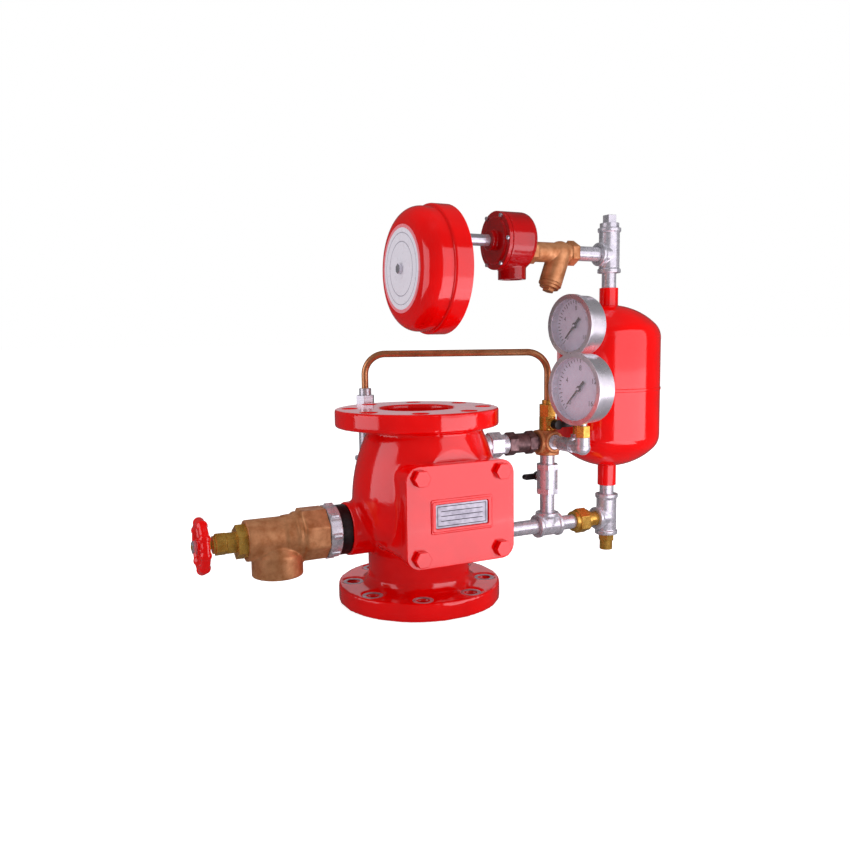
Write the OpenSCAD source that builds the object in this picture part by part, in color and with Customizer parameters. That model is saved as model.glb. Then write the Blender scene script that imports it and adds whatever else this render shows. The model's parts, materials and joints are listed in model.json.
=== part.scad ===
// Sprinkler alarm valve with its trim, drain, retard chamber and water motor gong.
// Origin: centre of the lower flange face. Z runs up the waterway, -Y is the cover side.

/* [Flanges] */
// Outside diameter of both pipe flanges
flange_d = 220; // [216:1:224]
// Thickness of both pipe flanges
flange_t = 24; // [20:1:26]
// Distance from a bolt's axis to the flange's rim
bolt_edge = 20; // [18:1:21]
// Bolt hole diameter
bolt_hole_d = 18; // [14:1:19]
// Number of bolts in each flange
bolt_count = 8; // [8:4:8]
// Waterway diameter in the flanges
bore_d = 100; // [94:1:102]
// Distance between the flange faces
face_to_face = 260; // [256:1:280]

/* [Body] */
// Radius of the chamber at its widest, centred on the waterway
chamber_r = 86; // [85:1:90]
// Radius of the front part of the chamber at its widest
front_r = 98; // [96:1:101]
// How far the front part of the chamber stands forward
front_offset = 24; // [20:1:26]
// Wall of the casting
wall = 10; // [8:1:11]
// Height of the widest part of the chamber
chamber_z = 139; // [137:1:141]

/* [Cover] */
// Width of the handhole cover
cover_w = 150; // [144:1:154]
// Height of the handhole cover
cover_h = 126; // [122:1:130]
// Thickness of the handhole cover
cover_t = 16; // [12:1:18]
// Thickness of the cover gasket
gasket_t = 2; // [1:0.5:3]
// Front face of the handhole box, forward of the waterway axis
box_front = 107; // [105:1:112]
// Bolt spacing across the cover
cover_bolt_w = 112; // [110:1:116]
// Bolt spacing up the cover
cover_bolt_h = 98; // [96:1:100]

/* [Clapper] */
// Diameter of the clapper disc
clapper_d = 106; // [102:1:107]
// Diameter of the hinge pin
hinge_pin_d = 8; // [6:0.5:9]

/* [Drain] */
// Height of the drain axis
drain_z = 106; // [104:1:110]
// Outside diameter of the drain nipple
drain_pipe_d = 60.3; // [58:0.1:61]
// Diameter of the drain outlet thread
drain_outlet_d = 47.8; // [42:0.1:48.5]
// Lift of the drain disc from its seat
drain_lift = 12; // [8:1:14]
// Diameter of the handwheel
handwheel_d = 72; // [60:1:84]
// Diameter of the drain stem
stem_d = 10; // [8:0.5:11]

/* [Pipes] */
// Outside diameter of the trim pipe
pipe_d = 21.3; // [20:0.1:22]
// Wall of the trim pipe
pipe_wall = 2.6; // [2:0.1:3.2]
// Height of the alarm line
alarm_z = 74; // [74:1:78]
// Height of the upper trim line
trim_z = 200; // [196:1:204]
// Distance of the test pipe from the waterway axis
trim_x = 212; // [208:1:216]

/* [Retard chamber] */
// Distance of the chamber axis from the waterway axis
tank_x = 322; // [320:1:332]
// Outside diameter of the chamber
tank_d = 153; // [144:1:154]
// Lower end of the chamber's shell
tank_z = 155; // [152:1:160]
// Length of the chamber's shell
tank_h = 243; // [236:1:250]
// Wall of the chamber
tank_wall = 3; // [2:0.5:4]

/* [Water motor and gong] */
// Diameter of the motor drum
motor_d = 80; // [76:1:84]
// Height of the motor shaft above the motor inlet line
shaft_rise = 13; // [12:1:16]
// Diameter of the gong
gong_d = 172; // [168:1:184]
// Depth of the gong
gong_depth = 61; // [58:1:66]
// Metal thickness of the gong
gong_t = 3; // [2:0.5:4]
// Height of the motor shaft above the gong's centre
gong_drop = 42; // [40:1:42]
// Diameter of the drive shaft
shaft_d = 8; // [6:0.5:9]

/* [Bypass] */
// Outside diameter of the copper tube
tube_d = 10; // [8:0.5:12]
// Bend radius of the copper tube
tube_bend = 30; // [24:1:36]
// Height of the copper tube's top run
tube_top = 330; // [318:1:338]
// Place of the rear riser, across the valve
riser_x = -22; // [-30:1:-16]
// Gap from the flange's rim to the rear riser's axis
riser_gap = 19; // [18:1:24]

/* [Gauges] */
// Diameter of the lower gauge
lower_gauge_d = 99; // [92:1:100]
// Diameter of the upper gauge
upper_gauge_d = 87; // [80:1:88]
// Depth of the gauge cases
gauge_depth = 30; // [28:1:32]
// Turn of the gauges toward the front
gauge_yaw = 7.5; // [4:0.5:9]

/* [Hidden] */
$fn = 96;

// Running clearance of a thread or spigot in its socket
fit = 0.1;
// Clearance of a turning or sliding part
run = 0.05;
// Depth that a trim pipe screws into a long fitting
engage = 13;
// Depth that a trim pipe screws into a short tee, cross or elbow
tee_engage = 8;
// Extra length of a cut past a face
cut = 1;

red = [0.80, 0.04, 0.04];
dark_red = [0.55, 0.05, 0.06];
steel = [0.72, 0.73, 0.74];
brass = [0.80, 0.62, 0.22];
bronze = [0.62, 0.43, 0.26];
copper = [0.72, 0.45, 0.28];
black = [0.08, 0.08, 0.08];
rubber = [0.12, 0.12, 0.12];

flange_r = flange_d / 2;
bolt_pcd = flange_d - 2 * bolt_edge;
bore_r = bore_d / 2;
top_face = face_to_face;
neck_top = face_to_face - flange_t;
pipe_r = pipe_d / 2;
socket_r = pipe_r + fit;
fitting_r = pipe_r + 4.5;
collar_r = fitting_r + 2;

// Plain round, tube and hexagon along each axis, from one place to another
module rod_x(r, x0, x1, y = 0, z = 0) {
  translate([x0, y, z]) rotate([0, 90, 0]) cylinder(r = r, h = x1 - x0);
}
module rod_y(r, y0, y1, x = 0, z = 0) {
  translate([x, y1, z]) rotate([90, 0, 0]) cylinder(r = r, h = y1 - y0);
}
module rod_z(r, z0, z1, x = 0, y = 0) {
  translate([x, y, z0]) cylinder(r = r, h = z1 - z0);
}
module hex_x(r, x0, x1, y = 0, z = 0) {
  translate([x0, y, z]) rotate([0, 90, 0]) cylinder(r = r, h = x1 - x0, $fn = 6);
}
module hex_y(r, y0, y1, x = 0, z = 0) {
  translate([x, y1, z]) rotate([90, 0, 0]) cylinder(r = r, h = y1 - y0, $fn = 6);
}
module hex_z(r, z0, z1, x = 0, y = 0) {
  translate([x, y, z0]) cylinder(r = r, h = z1 - z0, $fn = 6);
}
// Rounded rectangle, made of squares and true corner arcs
module rounded_rect(w, h, r) {
  square([w - 2 * r, h], center = true);
  square([w, h - 2 * r], center = true);
  for (sx = [-1, 1], sy = [-1, 1])
    translate([sx * (w / 2 - r), sy * (h / 2 - r)]) circle(r);
}
// Rounded plate standing across Y, from its front face y0 to its back face y1
module plate_y(w, h, r, y0, y1, z) {
  translate([0, y1, z]) rotate([90, 0, 0]) linear_extrude(y1 - y0) rounded_rect(w, h, r);
}
// Quarter-round filler where a flange meets a neck of radius r
module flange_fillet(r, size) {
  rotate_extrude() difference() {
    translate([r - 2, 0]) square([size + 2, size]);
    translate([r + size, size]) circle(size);
  }
}

// Main valve
neck_r = 69;
chamber_low = 62;
front_low = 70;
floor_z = 68;
seat_bed = 56;
seat_top = 70;
seat_r = clapper_d / 2 + 3;
cover_z = chamber_z - 1;
cover_back = -box_front - gasket_t;
cover_front = cover_back - cover_t;
drain_boss_x = -107;
port_x = 92;
port_r = 17;
socket_depth = 22;
riser_z = 160;
riser_y = flange_r + riser_gap;
rear_boss_y = 100;
hinge_y = clapper_d / 2 + 7;
hinge_z = 94;
hinge_boss = 64;
hinge_reach = 52;
plug_r = 8;
drain_r = drain_pipe_d / 2;

// Radius of the arc that falls by drop over the height h
function arc_radius(h, drop) = (h * h + drop * drop) / (2 * drop);

// Half of a barrel: an arc upright at chamber_z, up to z1 or down to z0
module barrel(r_mid, r_top, r_low, z_low, inset) {
  upper = arc_radius(neck_top - chamber_z, r_mid - r_top);
  lower = arc_radius(chamber_z - z_low, r_mid - r_low);
  base = inset > 0 ? max(floor_z, z_low) : z_low;
  rotate_extrude() {
    intersection() {
      translate([0, chamber_z]) square([r_mid + cut, neck_top - inset - chamber_z]);
      translate([r_mid - upper, chamber_z]) circle(upper - inset);
    }
    intersection() {
      translate([0, base]) square([r_mid + cut, chamber_z - base]);
      translate([r_mid - lower, chamber_z]) circle(lower - inset);
    }
  }
}
module chamber_shape(inset) {
  barrel(chamber_r, chamber_r - 22, chamber_r - 20, chamber_low, inset);
  translate([0, -front_offset, 0])
    barrel(front_r, front_r - 24, front_r - 52, front_low, inset);
}
module bolt_circle(z0, z1, r) {
  for (i = [0 : bolt_count - 1])
    rotate(360 / bolt_count * (i + 0.5)) rod_z(r, z0, z1, bolt_pcd / 2);
}
module cover_bolt_places() {
  for (sx = [-1, 1], sz = [-1, 1])
    translate([sx * cover_bolt_w / 2, 0, cover_z + sz * cover_bolt_h / 2]) children();
}
module body_outside() {
  rod_z(flange_r, 0, flange_t);
  rod_z(flange_r, neck_top, top_face);
  rod_z(neck_r, 0, chamber_low + 12);
  translate([0, 0, flange_t]) flange_fillet(neck_r, 12);
  difference() {
    union() {
      chamber_shape(0);
      plate_y(cover_w - 6, cover_h - 6, 16, -box_front, -30, cover_z);
    }
    translate([-flange_r, -box_front - flange_r, 0]) cube([flange_d, flange_r, neck_top]);
  }
  rod_x(drain_r + 5, drain_boss_x, -50, 0, drain_z);
  rod_x(port_r, 50, port_x, 0, alarm_z);
  rod_x(port_r, 50, port_x, 0, trim_z);
  rod_y(port_r, 50, rear_boss_y, riser_x, riser_z);
  rod_x(plug_r + 4, -hinge_boss, hinge_boss, hinge_y, hinge_z);
}
module valve_body() {
  color(red) difference() {
    body_outside();
    chamber_shape(wall);
    rod_z(bore_r, -cut, top_face + cut);
    rod_z(seat_r + fit, seat_bed, seat_top + 4);
    bolt_circle(-cut, flange_t + cut, bolt_hole_d / 2);
    bolt_circle(neck_top - cut, top_face + cut, bolt_hole_d / 2);
    bolt_circle(flange_t - 2, flange_t + 12, bolt_hole_d / 2 + 7);
    plate_y(cover_w - 30, cover_h - 52, 18, -box_front - cut, -30, cover_z);
    cover_bolt_places() rod_y(6 + fit, -box_front - cut, -box_front + 20);
    rod_x(drain_r - 4, drain_boss_x - cut, -40, 0, drain_z);
    rod_x(drain_r + fit, drain_boss_x - cut, drain_boss_x + 16, 0, drain_z);
    rod_x(socket_r, port_x - socket_depth, port_x + cut, 0, alarm_z);
    rod_x(4, seat_r - 2, port_x - 10, 0, alarm_z - 9);
    rod_x(socket_r, port_x - socket_depth / 2, port_x + cut, 0, trim_z);
    rod_x(6, 50, port_x, 0, trim_z);
    rod_y(socket_r, rear_boss_y - 14, rear_boss_y + cut, riser_x, riser_z);
    rod_y(6, 50, rear_boss_y, riser_x, riser_z);
    rod_x(hinge_pin_d / 2 + run, -hinge_boss - cut, hinge_boss + cut, hinge_y, hinge_z);
    for (s = [-1, 1])
      rod_x(plug_r + fit, s > 0 ? hinge_reach : -hinge_boss - cut,
            s > 0 ? hinge_boss + cut : -hinge_reach, hinge_y, hinge_z);
    translate([-23, 40, hinge_z - 9]) cube([46, hinge_y - 31.5, 26]);
  }
}
module seat_ring() {
  color(bronze) difference() {
    rod_z(seat_r, seat_bed, seat_top);
    rod_z(seat_r - 11, seat_bed - cut, seat_top + cut);
    rotate_extrude() translate([seat_r - 7, seat_bed + 4]) square([8, 6]);
    for (i = [0 : 11]) rotate(30 * i) rod_z(2, seat_bed + 6, seat_top + cut, seat_r - 5);
  }
}
module handhole_cover() {
  color(red) difference() {
    union() {
      plate_y(cover_w, cover_h, 18, cover_front, cover_back, cover_z);
      difference() {
        plate_y(83, 38, 3, cover_front - 2, cover_front, cover_z);
        plate_y(73, 30, 2, cover_front - 2 - cut, cover_front + cut, cover_z);
      }
    }
    cover_bolt_places() rod_y(7, cover_front - cut, cover_back + cut);
    plate_y(73, 30, 2, cover_front - cut, cover_front + 1, cover_z);
  }
}
module name_plate() {
  color(steel) plate_y(72, 29, 2, cover_front, cover_front + 1, cover_z);
}
module cover_gasket() {
  color(rubber) difference() {
    plate_y(cover_w - 6, cover_h - 6, 16, cover_back, -box_front, cover_z);
    plate_y(cover_w - 30, cover_h - 52, 18, cover_back - cut, -box_front + cut, cover_z);
    cover_bolt_places() rod_y(7, cover_back - cut, -box_front + cut);
  }
}
module cover_bolts() {
  color(red) cover_bolt_places() {
    hex_y(11, cover_front - 8, cover_front);
    rod_y(6, cover_front, -box_front + 18);
  }
}
module hinge_pin() {
  color(steel) rod_x(hinge_pin_d / 2, -hinge_reach, hinge_reach, hinge_y, hinge_z);
}
module hinge_pin_plugs() {
  color(steel) for (s = [0, 1]) mirror([s, 0, 0]) {
    rod_x(plug_r, hinge_reach, hinge_boss, hinge_y, hinge_z);
    hex_x(plug_r + 2, hinge_boss, hinge_boss + 6, hinge_y, hinge_z);
  }
}

// Clapper: disc, seal and nut, swinging on the hinge pin at the back of the seat
seal_t = 4;
clapper_z = seat_top + seal_t;
clapper_t = 10;
stud_r = 6;
module clapper() {
  lug = hinge_pin_d / 2 + 3;
  color(bronze) difference() {
    union() {
      rod_z(clapper_d / 2, clapper_z, clapper_z + clapper_t);
      for (s = [-1, 1]) translate([s * 16 - 4, 0, 0]) rotate([90, 0, 90]) linear_extrude(8) {
        translate([hinge_y, hinge_z]) circle(lug);
        polygon([[10, clapper_z + 4], [hinge_y - 14, clapper_z + 4], [hinge_y, hinge_z - lug],
                 [hinge_y, hinge_z + lug], [hinge_y - 24, clapper_z + clapper_t + 8],
                 [10, clapper_z + clapper_t + 2]]);
      }
    }
    rod_x(hinge_pin_d / 2 + run, -30, 30, hinge_y, hinge_z);
    rod_z(stud_r + fit, clapper_z - cut, clapper_z + clapper_t + cut);
  }
}
module clapper_seal() {
  color(rubber) difference() {
    rod_z(clapper_d / 2, seat_top, clapper_z);
    rod_z(stud_r + fit, seat_top - cut, clapper_z + cut);
  }
}
module clapper_nut() {
  color(steel) {
    rod_z(seat_r - 18, seat_top - 4, seat_top);
    rod_z(stud_r, seat_top, clapper_z + clapper_t);
    hex_z(10, clapper_z + clapper_t, clapper_z + clapper_t + 8);
  }
}

// Drain: nipple, lock nut, angle valve with rising stem and handwheel
valve_in = drain_boss_x - 29;
ring_x = drain_boss_x - 14;
outlet_x = valve_in - 62;
outlet_drop = 48;
outlet_z = drain_z - outlet_drop;
outlet_cup = 8.3;
outlet_r = drain_outlet_d / 2;
seat_x = valve_in - 36;
bonnet_x = valve_in - 102;
bonnet_bore = 21;
disc_t = 8;
stem_r = stem_d / 2;
gland_x = bonnet_x - 24;
wheel_x = gland_x - 29;
hub_t = 12;
stem_end = wheel_x - hub_t / 2;
rim_r = 5.8;
module drain_nipple() {
  color(black) difference() {
    union() {
      rod_x(drain_r, valve_in - 14, drain_boss_x + 15, 0, drain_z);
      rod_x(drain_r + 2.5, ring_x, drain_boss_x, 0, drain_z);
    }
    rod_x(drain_r - 4, valve_in - 15, drain_boss_x + 16, 0, drain_z);
  }
}
module drain_locknut() {
  color(steel) difference() {
    union() {
      rod_x(drain_r + 4, valve_in, ring_x, 0, drain_z);
      for (i = [0 : 7]) translate([0, 0, drain_z]) rotate([45 * i, 0, 0])
        rod_x(4, valve_in + 2, ring_x - 2, 0, drain_r + 2.5);
    }
    rod_x(drain_r + fit, valve_in - cut, ring_x + cut, 0, drain_z);
  }
}
module drain_valve_body() {
  color(bronze) difference() {
    union() {
      translate([valve_in - 32, 0, drain_z]) rotate([22.5, 0, 0]) rotate([0, 90, 0])
        cylinder(r = drain_r + 4.5, h = 32, $fn = 8);
      rod_x(drain_r, seat_x - 4, valve_in - 30, 0, drain_z);
      translate([seat_x - 18, 0, drain_z]) rotate([0, 90, 0])
        cylinder(r1 = bonnet_bore + 6, r2 = drain_r - 2, h = 16);
      rod_x(bonnet_bore + 5, bonnet_x, seat_x, 0, drain_z);
      rod_z(outlet_r + outlet_cup, outlet_z, drain_z - 20, outlet_x);
      translate([outlet_x, 0, drain_z - 20])
        cylinder(r1 = outlet_r + outlet_cup, r2 = outlet_r, h = 12);
    }
    rod_x(drain_r + fit, valve_in - 14, valve_in + cut, 0, drain_z);
    rod_x(drain_r - 6, seat_x + 7, valve_in, 0, drain_z);
    rod_x(bonnet_bore - 4, seat_x - cut, valve_in, 0, drain_z);
    rod_x(bonnet_bore, bonnet_x - cut, seat_x, 0, drain_z);
    rod_z(outlet_r - 3, outlet_z - cut, drain_z, outlet_x);
    rod_z(outlet_r, outlet_z - cut, outlet_z + 18, outlet_x);
  }
}
module drain_bonnet() {
  color(brass) difference() {
    union() {
      rod_x(bonnet_bore - fit, bonnet_x, bonnet_x + 12, 0, drain_z);
      hex_x(bonnet_bore + 1, bonnet_x - 12, bonnet_x, 0, drain_z);
      rod_x(13, gland_x, bonnet_x - 12, 0, drain_z);
    }
    rod_x(stem_r + run, gland_x - cut, bonnet_x + 13, 0, drain_z);
  }
}
module gland_nut() {
  color(brass) difference() {
    union() {
      hex_x(14, gland_x - 13, gland_x, 0, drain_z);
      rod_x(11, gland_x - 16, gland_x - 13, 0, drain_z);
    }
    rod_x(stem_r + 0.3, gland_x - 17, gland_x + cut, 0, drain_z);
  }
}
module drain_disc() {
  color(bronze) union() {
    rod_x(bonnet_bore - 1.5, seat_x - disc_t, seat_x, 0, drain_z);
    rod_x(stem_r + 4, seat_x - disc_t - 4, seat_x - disc_t, 0, drain_z);
  }
}
module drain_stem() {
  color(brass) union() {
    rod_x(stem_r, stem_end, seat_x - disc_t - 4, 0, drain_z);
    rod_x(3, stem_end - 6, stem_end, 0, drain_z);
  }
}
module drain_handwheel() {
  lobe = 1.8;
  rim = handwheel_d / 2 - rim_r - lobe;
  color(red) difference() {
    translate([wheel_x, 0, drain_z]) rotate([0, 90, 0]) union() {
      rotate_extrude() translate([rim, 0]) circle(rim_r);
      cylinder(r = stem_r + 5, h = hub_t, center = true);
      for (i = [0 : 4]) rotate(72 * i) rotate([0, 90, 0]) cylinder(r = 3.6, h = rim);
      for (i = [0 : 8]) rotate(40 * i) translate([rim + 0.6, 0, 0]) sphere(rim_r + lobe - 0.6);
    }
    rod_x(stem_r + fit, wheel_x - hub_t, wheel_x + hub_t, 0, drain_z);
  }
}
module handwheel_nut() {
  color(steel) difference() {
    hex_x(8, stem_end - 5, stem_end, 0, drain_z);
    rod_x(3 + fit, stem_end - 6, stem_end + cut, 0, drain_z);
  }
}

// Alarm line, retard chamber and the tees on it
bore_in = pipe_r - pipe_wall;
tee_half = 20;
tank_r = tank_d / 2;
tank_top = tank_z + tank_h;
knuckle = 30;
crown = 95;
neck_len = 30;
tank_neck_r = pipe_r + 3.2;
low_tee_z0 = alarm_z - 26;
low_tee_z1 = alarm_z + 37;
branch_x = tank_x - 22;
line_gap = 64;
union_x0 = tank_x - line_gap;
union_x1 = tank_x - 38;
high_tee_z0 = tank_top + 47;
motor_z = high_tee_z0 + 27;
high_tee_z1 = high_tee_z0 + 66;
module alarm_tee() {
  color(steel) difference() {
    union() {
      rod_x(fitting_r, trim_x - tee_half, trim_x + tee_half, 0, alarm_z);
      rod_x(collar_r, trim_x - tee_half, trim_x - tee_half + 6, 0, alarm_z);
      rod_x(collar_r, trim_x + tee_half - 6, trim_x + tee_half, 0, alarm_z);
      rod_z(fitting_r, alarm_z, alarm_z + tee_half, trim_x);
      rod_z(collar_r, alarm_z + tee_half - 6, alarm_z + tee_half, trim_x);
    }
    rod_x(bore_in, trim_x - tee_half - cut, trim_x + tee_half + cut, 0, alarm_z);
    rod_x(socket_r, trim_x - tee_half - cut, trim_x - tee_half + tee_engage, 0, alarm_z);
    rod_x(socket_r, trim_x + tee_half - tee_engage, trim_x + tee_half + cut, 0, alarm_z);
    rod_z(bore_in, alarm_z, alarm_z + tee_half + cut, trim_x);
    rod_z(socket_r, alarm_z + tee_half - tee_engage, alarm_z + tee_half + cut, trim_x);
  }
}
module alarm_union() {
  color(brass) difference() {
    union() {
      rod_x(fitting_r, union_x0, union_x0 + 6, 0, alarm_z);
      hex_x(fitting_r + 4, union_x0 + 6, union_x1 - 4, 0, alarm_z);
      rod_x(fitting_r + 1, union_x1 - 4, union_x1, 0, alarm_z);
      rod_x(pipe_r, union_x1, branch_x + engage, 0, alarm_z);
    }
    rod_x(bore_in, union_x0 - cut, branch_x + engage + cut, 0, alarm_z);
    rod_x(socket_r, union_x0 - cut, union_x0 + engage, 0, alarm_z);
  }
}
// Tee standing on the chamber axis with its branch toward the valve
module standing_tee(z0, z1, zb) {
  difference() {
    union() {
      rod_z(fitting_r, z0, z1, tank_x);
      rod_z(collar_r, z0, z0 + 6, tank_x);
      rod_z(collar_r, z1 - 6, z1, tank_x);
      rod_x(fitting_r, branch_x, tank_x, 0, zb);
      rod_x(collar_r, branch_x, branch_x + 6, 0, zb);
    }
    rod_z(bore_in, z0 - cut, z1 + cut, tank_x);
    rod_z(socket_r, z0 - cut, z0 + engage, tank_x);
    rod_z(socket_r, z1 - engage, z1 + cut, tank_x);
    rod_x(bore_in, branch_x - cut, tank_x, 0, zb);
    rod_x(socket_r, branch_x - cut, branch_x + engage, 0, zb);
  }
}
module chamber_tee() {
  color(steel) standing_tee(low_tee_z0, low_tee_z1, alarm_z);
}
module top_tee() {
  color(steel) standing_tee(high_tee_z0, high_tee_z1, motor_z);
}
module drain_orifice() {
  color(brass) difference() {
    union() {
      rod_z(pipe_r, low_tee_z0, low_tee_z0 + engage, tank_x);
      hex_z(pipe_r + 1.5, low_tee_z0 - 10, low_tee_z0, tank_x);
      rod_z(pipe_r - 1, low_tee_z0 - 24, low_tee_z0 - 10, tank_x);
    }
    rod_z(3, low_tee_z0 - 25, low_tee_z0 + engage + cut, tank_x);
    rod_z(6, low_tee_z0 - 25, low_tee_z0 - 8, tank_x);
  }
}
module top_plug() {
  color(steel) union() {
    rod_z(pipe_r, high_tee_z1 - engage, high_tee_z1, tank_x);
    rod_z(fitting_r - 1, high_tee_z1, high_tee_z1 + 7, tank_x);
    translate([tank_x - 7, -7, high_tee_z1 + 7]) cube([14, 14, 12]);
  }
}
// Half outline of the shell: straight side, knuckle arcs and crown arcs
module tank_profile(inset) {
  knuckle_x = tank_r - knuckle;
  reach = sqrt((crown - knuckle) * (crown - knuckle) - knuckle_x * knuckle_x);
  side = crown - reach;
  translate([0, tank_z + side]) square([tank_r - inset, tank_h - 2 * side]);
  for (end = [0, 1]) {
    flip = end == 0 ? -1 : 1;
    knuckle_z = end == 0 ? tank_z + side : tank_top - side;
    translate([knuckle_x, knuckle_z]) intersection() {
      circle(knuckle - inset);
      translate([-knuckle_x, -knuckle]) square([knuckle + knuckle_x, 2 * knuckle]);
    }
    translate([0, knuckle_z - flip * reach]) intersection() {
      circle(crown - inset);
      polygon([[0, 0], [2 * knuckle_x, flip * 2 * reach], [0, flip * 2 * crown]]);
    }
  }
}
module retard_chamber() {
  color(red) difference() {
    union() {
      translate([tank_x, 0, 0]) rotate_extrude() tank_profile(0);
      rod_z(tank_neck_r, tank_z - neck_len, tank_z + 8, tank_x);
      rod_z(tank_neck_r, tank_top - 8, tank_top + neck_len - 5, tank_x);
      rod_z(tank_r + 0.8, tank_z + tank_h * 0.48, tank_z + tank_h * 0.48 + 4, tank_x);
    }
    translate([tank_x, 0, 0]) rotate_extrude() tank_profile(tank_wall);
    rod_z(bore_in, tank_z - neck_len - cut, tank_top + neck_len, tank_x);
    rod_z(socket_r, tank_z - neck_len - cut, tank_z - neck_len + engage, tank_x);
    rod_z(socket_r, tank_top + neck_len - 5 - engage, tank_top + neck_len, tank_x);
  }
}

// Motor line: Y-strainer, water motor, shaft and gong
strainer_len = 80;
motor_len = 44;
gong_reach = 148;
strainer_x1 = tank_x - line_gap;
strainer_x0 = strainer_x1 - strainer_len;
leg_x = strainer_x1 - 26;
leg_tilt = 20;
leg_len = 46;
motor_x1 = strainer_x0 - 5;
motor_x0 = motor_x1 - motor_len;
motor_r = motor_d / 2;
motor_wall = 6;
shaft_z = motor_z + shaft_rise;
shaft_r = shaft_d / 2;
cover_disc = 8;
boss_x = motor_x0 - cover_disc - 8;
exhaust_r = 13.2;
exhaust_x = motor_x0 + exhaust_r + 9;
exhaust_z = shaft_z - motor_r - 13;
exhaust_thread = 15;
gong_z = shaft_z - gong_drop;
gong_r = gong_d / 2;
gong_x = motor_x0 - gong_reach;
plate_x = gong_x + gong_depth + 4;
plate_t = 6;
post_r = 6;
gong_bolt_r = 3;
striker_reach = gong_drop - post_r - 3;
sleeve_r = shaft_r + 4;
module at_leg() {
  translate([leg_x, 0, motor_z]) rotate([0, leg_tilt, 0]) children();
}
module strainer_body() {
  color(bronze) difference() {
    union() {
      rod_x(fitting_r - 1, strainer_x0, strainer_x1, 0, motor_z);
      hex_x(collar_r + 1, strainer_x1 - 12, strainer_x1, 0, motor_z);
      hex_x(collar_r, strainer_x0, strainer_x0 + 10, 0, motor_z);
      rod_x(pipe_r, strainer_x0 - engage, strainer_x0, 0, motor_z);
      at_leg() rod_z(fitting_r + 1.5, -leg_len, 0);
      at_leg() sphere(fitting_r + 1.5);
    }
    rod_x(bore_in, strainer_x0 - engage - cut, strainer_x1 + cut, 0, motor_z);
    rod_x(socket_r, strainer_x1 - engage, strainer_x1 + cut, 0, motor_z);
    at_leg() rod_z(11, -leg_len - cut, 0);
    at_leg() rod_z(13, -leg_len - cut, -leg_len + 14);
  }
}
module strainer_cap() {
  color(bronze) at_leg() {
    rod_z(13 - fit, -leg_len, -leg_len + 12);
    rod_z(fitting_r + 1.5, -leg_len - 4, -leg_len);
    rod_z(fitting_r - 1, -leg_len - 8, -leg_len - 4);
    hex_z(9, -leg_len - 13, -leg_len - 8);
  }
}
module strainer_screen() {
  color(steel) at_leg() difference() {
    rod_z(10.5, -leg_len + 12, -10);
    rod_z(9.5, -leg_len + 11, -9);
    for (k = [0 : 3], i = [0 : 5]) rotate(60 * i + 30 * (k % 2))
      translate([7, 0, -leg_len + 15.5 + 5 * k]) rotate([0, 90, 0]) cylinder(r = 1.5, h = 6);
  }
}
module motor_housing() {
  color(dark_red) difference() {
    union() {
      translate([motor_x0, 0, shaft_z]) rotate([0, 90, 0]) rotate_extrude() {
        square([motor_r, motor_x1 - motor_x0 - 12]);
        square([motor_r - 12, motor_x1 - motor_x0]);
        translate([motor_r - 12, motor_x1 - motor_x0 - 12]) circle(12);
      }
      rod_x(fitting_r, motor_x1 - 12, strainer_x0, 0, motor_z);
      rod_z(exhaust_r + 6.5, exhaust_z, shaft_z - 20, exhaust_x);
    }
    rod_x(motor_r - motor_wall, motor_x0 - cut, motor_x1 - 15, 0, shaft_z);
    rod_x(shaft_r + run, motor_x1 - 20, motor_x1 - 9, 0, shaft_z);
    rod_x(socket_r, strainer_x0 - engage, strainer_x0 + cut, 0, motor_z);
    rod_x(3, motor_x1 - 20, strainer_x0, 0, motor_z - 5);
    rod_z(exhaust_r, exhaust_z - cut, exhaust_z + exhaust_thread, exhaust_x);
    rod_z(exhaust_r - 3, exhaust_z, shaft_z - motor_r + motor_wall + 4, exhaust_x);
    motor_screw_places() rod_x(2 + fit, motor_x0 - cut, motor_x0 + 12);
  }
}
module motor_screw_places() {
  for (i = [0 : 5]) translate([0, 0, shaft_z]) rotate([60 * i + 30, 0, 0])
    translate([0, 0, motor_r - motor_wall / 2]) children();
}
module motor_cover() {
  color(dark_red) difference() {
    union() {
      rod_x(motor_r, motor_x0 - cover_disc + 2, motor_x0, 0, shaft_z);
      rod_x(motor_r - 8, motor_x0 - cover_disc, motor_x0 - cover_disc + 2, 0, shaft_z);
      rod_x(sleeve_r + 6, boss_x, motor_x0 - cover_disc, 0, shaft_z);
    }
    rod_x(shaft_r + run, boss_x - cut, motor_x0 + cut, 0, shaft_z);
    motor_screw_places() rod_x(2 + fit, motor_x0 - cover_disc - cut, motor_x0 + cut);
  }
}
module motor_cover_screws() {
  color(steel) motor_screw_places() {
    rod_x(2, motor_x0 - cover_disc + 2, motor_x0 + 10);
    hex_x(3, motor_x0 - cover_disc - 1, motor_x0 - cover_disc + 2);
  }
}
module turbine_wheel() {
  wheel_r = motor_r - motor_wall - 2;
  color(brass) difference() {
    union() {
      rod_x(shaft_r + 5, motor_x0 + 5, motor_x1 - 17, 0, shaft_z);
      rod_x(wheel_r - 8, motor_x0 + 14, motor_x0 + 18, 0, shaft_z);
      for (i = [0 : 11]) translate([0, 0, shaft_z]) rotate([30 * i, 0, 0])
        translate([motor_x0 + 8, -1.2, shaft_r + 3]) cube([16, 2.4, wheel_r - shaft_r - 3]);
    }
    rod_x(shaft_r + run, motor_x0, motor_x1, 0, shaft_z);
  }
}
module drive_shaft() {
  color(steel) rod_x(shaft_r, plate_x - 28, motor_x1 - 10, 0, shaft_z);
}
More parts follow.
